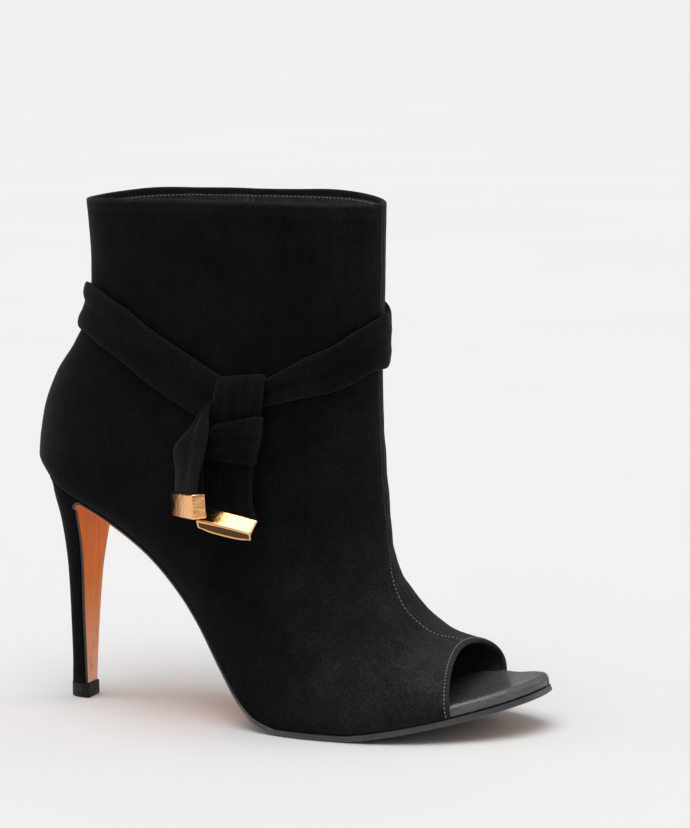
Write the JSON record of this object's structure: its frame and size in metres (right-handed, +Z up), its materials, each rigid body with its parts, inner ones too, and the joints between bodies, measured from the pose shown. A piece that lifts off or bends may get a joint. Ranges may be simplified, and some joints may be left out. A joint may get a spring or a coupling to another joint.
{
  "type": "peep toe ankle boot",
  "caption": "High-heeled ankle boot with an open toe, a slim stiletto heel and an ankle strap knotted at the outer side, its ends in metal tips",
  "frame": {"origin": "on the floor, under the middle of the shoe's overall box", "axes": "X runs from the heel to the toe, Y to the inner side of the foot, Z up. The shoe stands on its forefoot and on the heel's top piece at Z = 0."},
  "size_m": [0.2192, 0.0948, 0.2149],
  "materials": {
    "suede": "black suede with a soft nap",
    "insole_leather": "satin dark grey",
    "sole_leather": "glossy tan",
    "heel_rubber": "matt",
    "gold_metal": "polished gold tone"
  },
  "bodies": {
    "root": {"upper": "suede", "insole": "insole_leather", "outsole": "sole_leather", "heel": "suede", "heel_top_piece": "heel_rubber", "ankle_strap": "suede", "knot_loop": "suede", "knot_wrap": "suede", "tail_front": "suede", "tail_rear": "suede", "tip_front": "gold_metal", "tip_rear": "gold_metal"}
  },
  "joints": []
}
